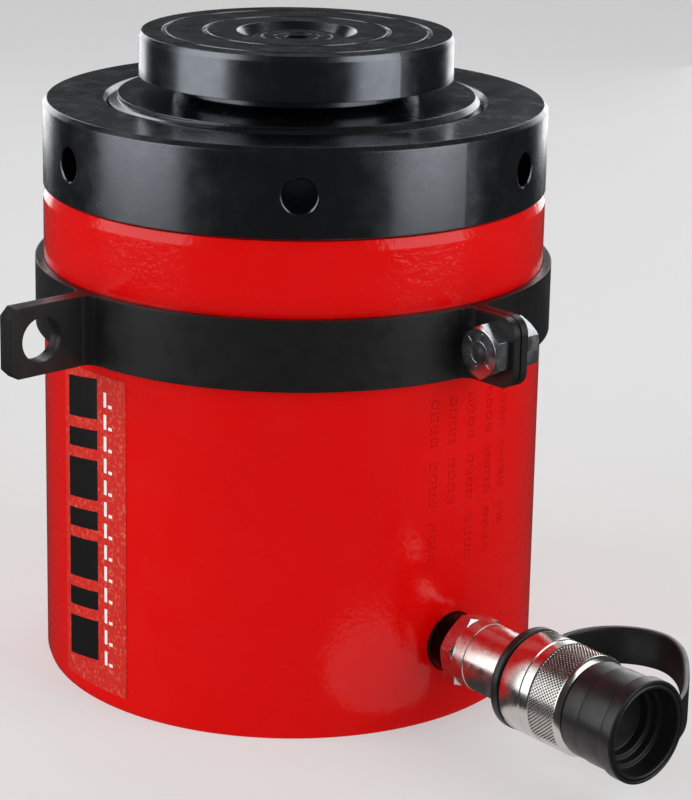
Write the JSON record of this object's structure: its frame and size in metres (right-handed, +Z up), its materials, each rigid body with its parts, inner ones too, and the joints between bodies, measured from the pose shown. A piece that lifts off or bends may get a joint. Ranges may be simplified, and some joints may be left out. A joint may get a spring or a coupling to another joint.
{
  "type": "hydraulic lock ring cylinder",
  "caption": "Short single-acting hydraulic lifting cylinder with a threaded plunger, lock ring, tilting saddle, lifting band and a capped quick coupling.",
  "frame": {"origin": "centre of the base on the cylinder's axis", "axes": "+Z up along the cylinder's axis, +X out along the oil coupling"},
  "size_m": [0.2834, 0.2584, 0.2365],
  "materials": {
    "red_paint": "gloss red enamel with orange peel",
    "black_steel": "black oxide, satin, fine turning marks",
    "band_coat": "satin black powder coat",
    "zinc_plate": "bright zinc plate",
    "bright_plate": "bright plate, satin where knurled",
    "valve_steel": "polished steel",
    "gland_steel": "turned steel",
    "wear_plastic": "filled plastic",
    "seal_rubber": "black rubber",
    "cap_plastic": "satin black moulding",
    "label_film": "printed film, speckled red"
  },
  "bodies": {
    "cylinder": {"cylinder_body": "red_paint", "stop_ring": "gland_steel", "guide_ring": "wear_plastic", "rod_wiper": "seal_rubber", "stop_ring_screws": "black_steel", "band_front_strip": "band_coat", "band_side_strip": "band_coat", "band_rear_strip": "band_coat", "clamp_bolt": "zinc_plate", "clamp_nut": "zinc_plate", "side_label": "label_film", "port_seal": "seal_rubber", "coupler_hex_end": "bright_plate", "coupler_body": "bright_plate", "valve_seat": "valve_steel", "valve_spring": "valve_steel", "nose_seal": "seal_rubber", "sleeve_snap_ring": "bright_plate", "cap_tether": "cap_plastic"},
    "ram": {"plunger": "black_steel", "piston_seal": "seal_rubber", "piston_backup_ring": "wear_plastic", "piston_wear_ring": "wear_plastic", "saddle_screw": "black_steel"},
    "ring": {"lock_ring": "black_steel"},
    "swivel_washer": {"saddle_washer": "black_steel"},
    "tilt_saddle": {"saddle": "black_steel"},
    "sleeve": {"locking_sleeve": "bright_plate"},
    "cap": {"dust_cap": "cap_plastic"},
    "ball": {"valve_ball": "valve_steel"}
  },
  "joints": [
    {"name": "lock_ring_spin", "type": "hinge", "parent": "cylinder", "child": "ring", "pos_m": [0, 0, 0.196], "axis": [0, 0, 1], "range_deg": [-5990, 0]},
    {"name": "plunger_lift", "type": "slide", "parent": "cylinder", "child": "ram", "axis": [0, 0, 1], "range_m": [0, 0.1]},
    {"name": "saddle_swivel", "type": "hinge", "parent": "ram", "child": "swivel_washer", "pos_m": [0, 0, 0.231], "axis": [0, 0, 1], "continuous": true},
    {"name": "saddle_tilt", "type": "hinge", "parent": "swivel_washer", "child": "tilt_saddle", "pos_m": [0, 0, 0.266], "axis": [0, 1, 0], "range_deg": [0, 5]},
    {"name": "sleeve_spin", "type": "hinge", "parent": "cylinder", "child": "sleeve", "pos_m": [0.15, 0, 0.029], "axis": [1, 0, 0], "continuous": true},
    {"name": "dust_cap_pull", "type": "slide", "parent": "cylinder", "child": "cap", "axis": [1, 0, 0], "range_m": [0, 0.02], "deforming": ["cap_tether"]},
    {"name": "check_valve", "type": "slide", "parent": "cylinder", "child": "ball", "axis": [-1, 0, 0], "range_m": [0, 0.003], "stiffness_N_per_m": 400, "springref_m": -0.004, "deforming": ["valve_spring"]}
  ],
  "couplings": [
    {"joint": "plunger_lift", "follows": "lock_ring_spin", "m_per_rad": -0.00095493}
  ]
}
